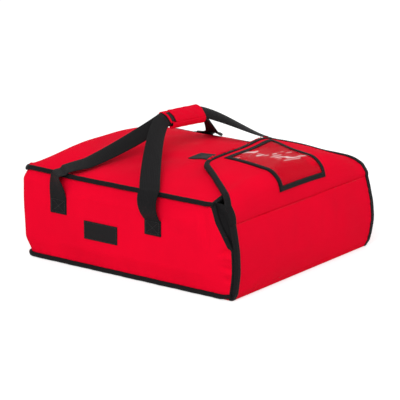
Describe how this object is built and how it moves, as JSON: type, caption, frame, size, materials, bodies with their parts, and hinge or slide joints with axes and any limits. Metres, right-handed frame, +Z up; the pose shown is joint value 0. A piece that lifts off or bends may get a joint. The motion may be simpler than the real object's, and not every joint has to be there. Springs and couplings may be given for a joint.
{
  "type": "pizza delivery bag",
  "caption": "Padded insulated bag for pizza boxes, with a hook-and-loop front flap, a clear ticket pocket and two webbing handles joined by a wrapped grip.",
  "frame": {"origin": "on the floor under the middle of the bag", "axes": "+Z up, the front flap faces -Y, the side with the label is -X"},
  "size_m": [0.4344, 0.479, 0.2643],
  "materials": {
    "red_nylon": "coated woven nylon, slight sheen",
    "black_nylon": "ribbed nylon tape",
    "black_webbing": "plain-woven nylon webbing",
    "hook_and_loop": "hook and loop tape",
    "dark_liner": "smooth coated liner",
    "grey_foam": "closed-cell foam",
    "clear_vinyl": "clear soft vinyl sheet",
    "woven_label": "woven label, bare"
  },
  "bodies": {
    "bag": {"bottom_panel_shell": "red_nylon", "bottom_panel_foam": "grey_foam", "bottom_panel_liner": "dark_liner", "left_panel_shell": "red_nylon", "left_panel_foam": "grey_foam", "left_panel_liner": "dark_liner", "right_panel_shell": "red_nylon", "right_panel_foam": "grey_foam", "right_panel_liner": "dark_liner", "back_panel_shell": "red_nylon", "back_panel_foam": "grey_foam", "back_panel_liner": "dark_liner", "top_panel_shell": "red_nylon", "top_panel_foam": "grey_foam", "top_panel_liner": "dark_liner", "top_piping": "black_nylon", "bottom_piping": "black_nylon", "mouth_binding_top": "black_nylon", "mouth_binding_left": "black_nylon", "mouth_binding_right": "black_nylon", "gusset_left": "black_nylon", "gusset_right": "black_nylon", "loop_strip_left": "hook_and_loop", "loop_strip_right": "hook_and_loop", "label_patch": "woven_label", "strap_end_front_left": "black_webbing", "strap_end_front_right": "black_webbing", "strap_end_rear_left": "black_webbing", "strap_end_rear_right": "black_webbing"},
    "flap": {"front_panel_shell": "red_nylon", "front_panel_foam": "grey_foam", "front_panel_liner": "dark_liner", "flap_binding_left": "black_nylon", "flap_binding_right": "black_nylon"},
    "lap": {"lap_shell": "red_nylon", "lap_foam": "grey_foam", "lap_liner": "dark_liner", "lap_binding": "black_nylon", "hook_strip_left": "hook_and_loop", "hook_strip_right": "hook_and_loop", "pocket_window": "clear_vinyl", "pocket_frame": "black_nylon"},
    "handle": {"strap_middle_front": "black_webbing", "strap_middle_rear": "black_webbing", "strap_leg_front_left": "black_webbing", "strap_leg_front_right": "black_webbing", "strap_leg_rear_left": "black_webbing", "strap_leg_rear_right": "black_webbing", "grip_wrap": "red_nylon", "grip_loop_strip": "hook_and_loop"},
    "grip_leaf": {"grip_cover": "red_nylon", "grip_hook_strip": "hook_and_loop"}
  },
  "joints": [
    {"name": "flap_hinge", "type": "hinge", "parent": "bag", "child": "flap", "pos_m": [0, -0.2285, 0.003], "axis": [1, 0, 0], "range_deg": [0, 67]},
    {"name": "lap_fold", "type": "hinge", "parent": "flap", "child": "lap", "pos_m": [0, -0.2382, 0.134], "axis": [1, 0, 0], "range_deg": [0, 85]},
    {"name": "handle_drop", "type": "slide", "parent": "bag", "child": "handle", "axis": [0, 0, 1], "range_m": [-0.032, 0], "deforming": ["strap_leg_front_left", "strap_leg_front_right", "strap_leg_rear_left", "strap_leg_rear_right"]},
    {"name": "grip_leaf_fold", "type": "hinge", "parent": "handle", "child": "grip_leaf", "pos_m": [0.00131, 0.02007, 0.24182], "axis": [0.9923, 0.099, -0.075], "range_deg": [0, 150]}
  ]
}
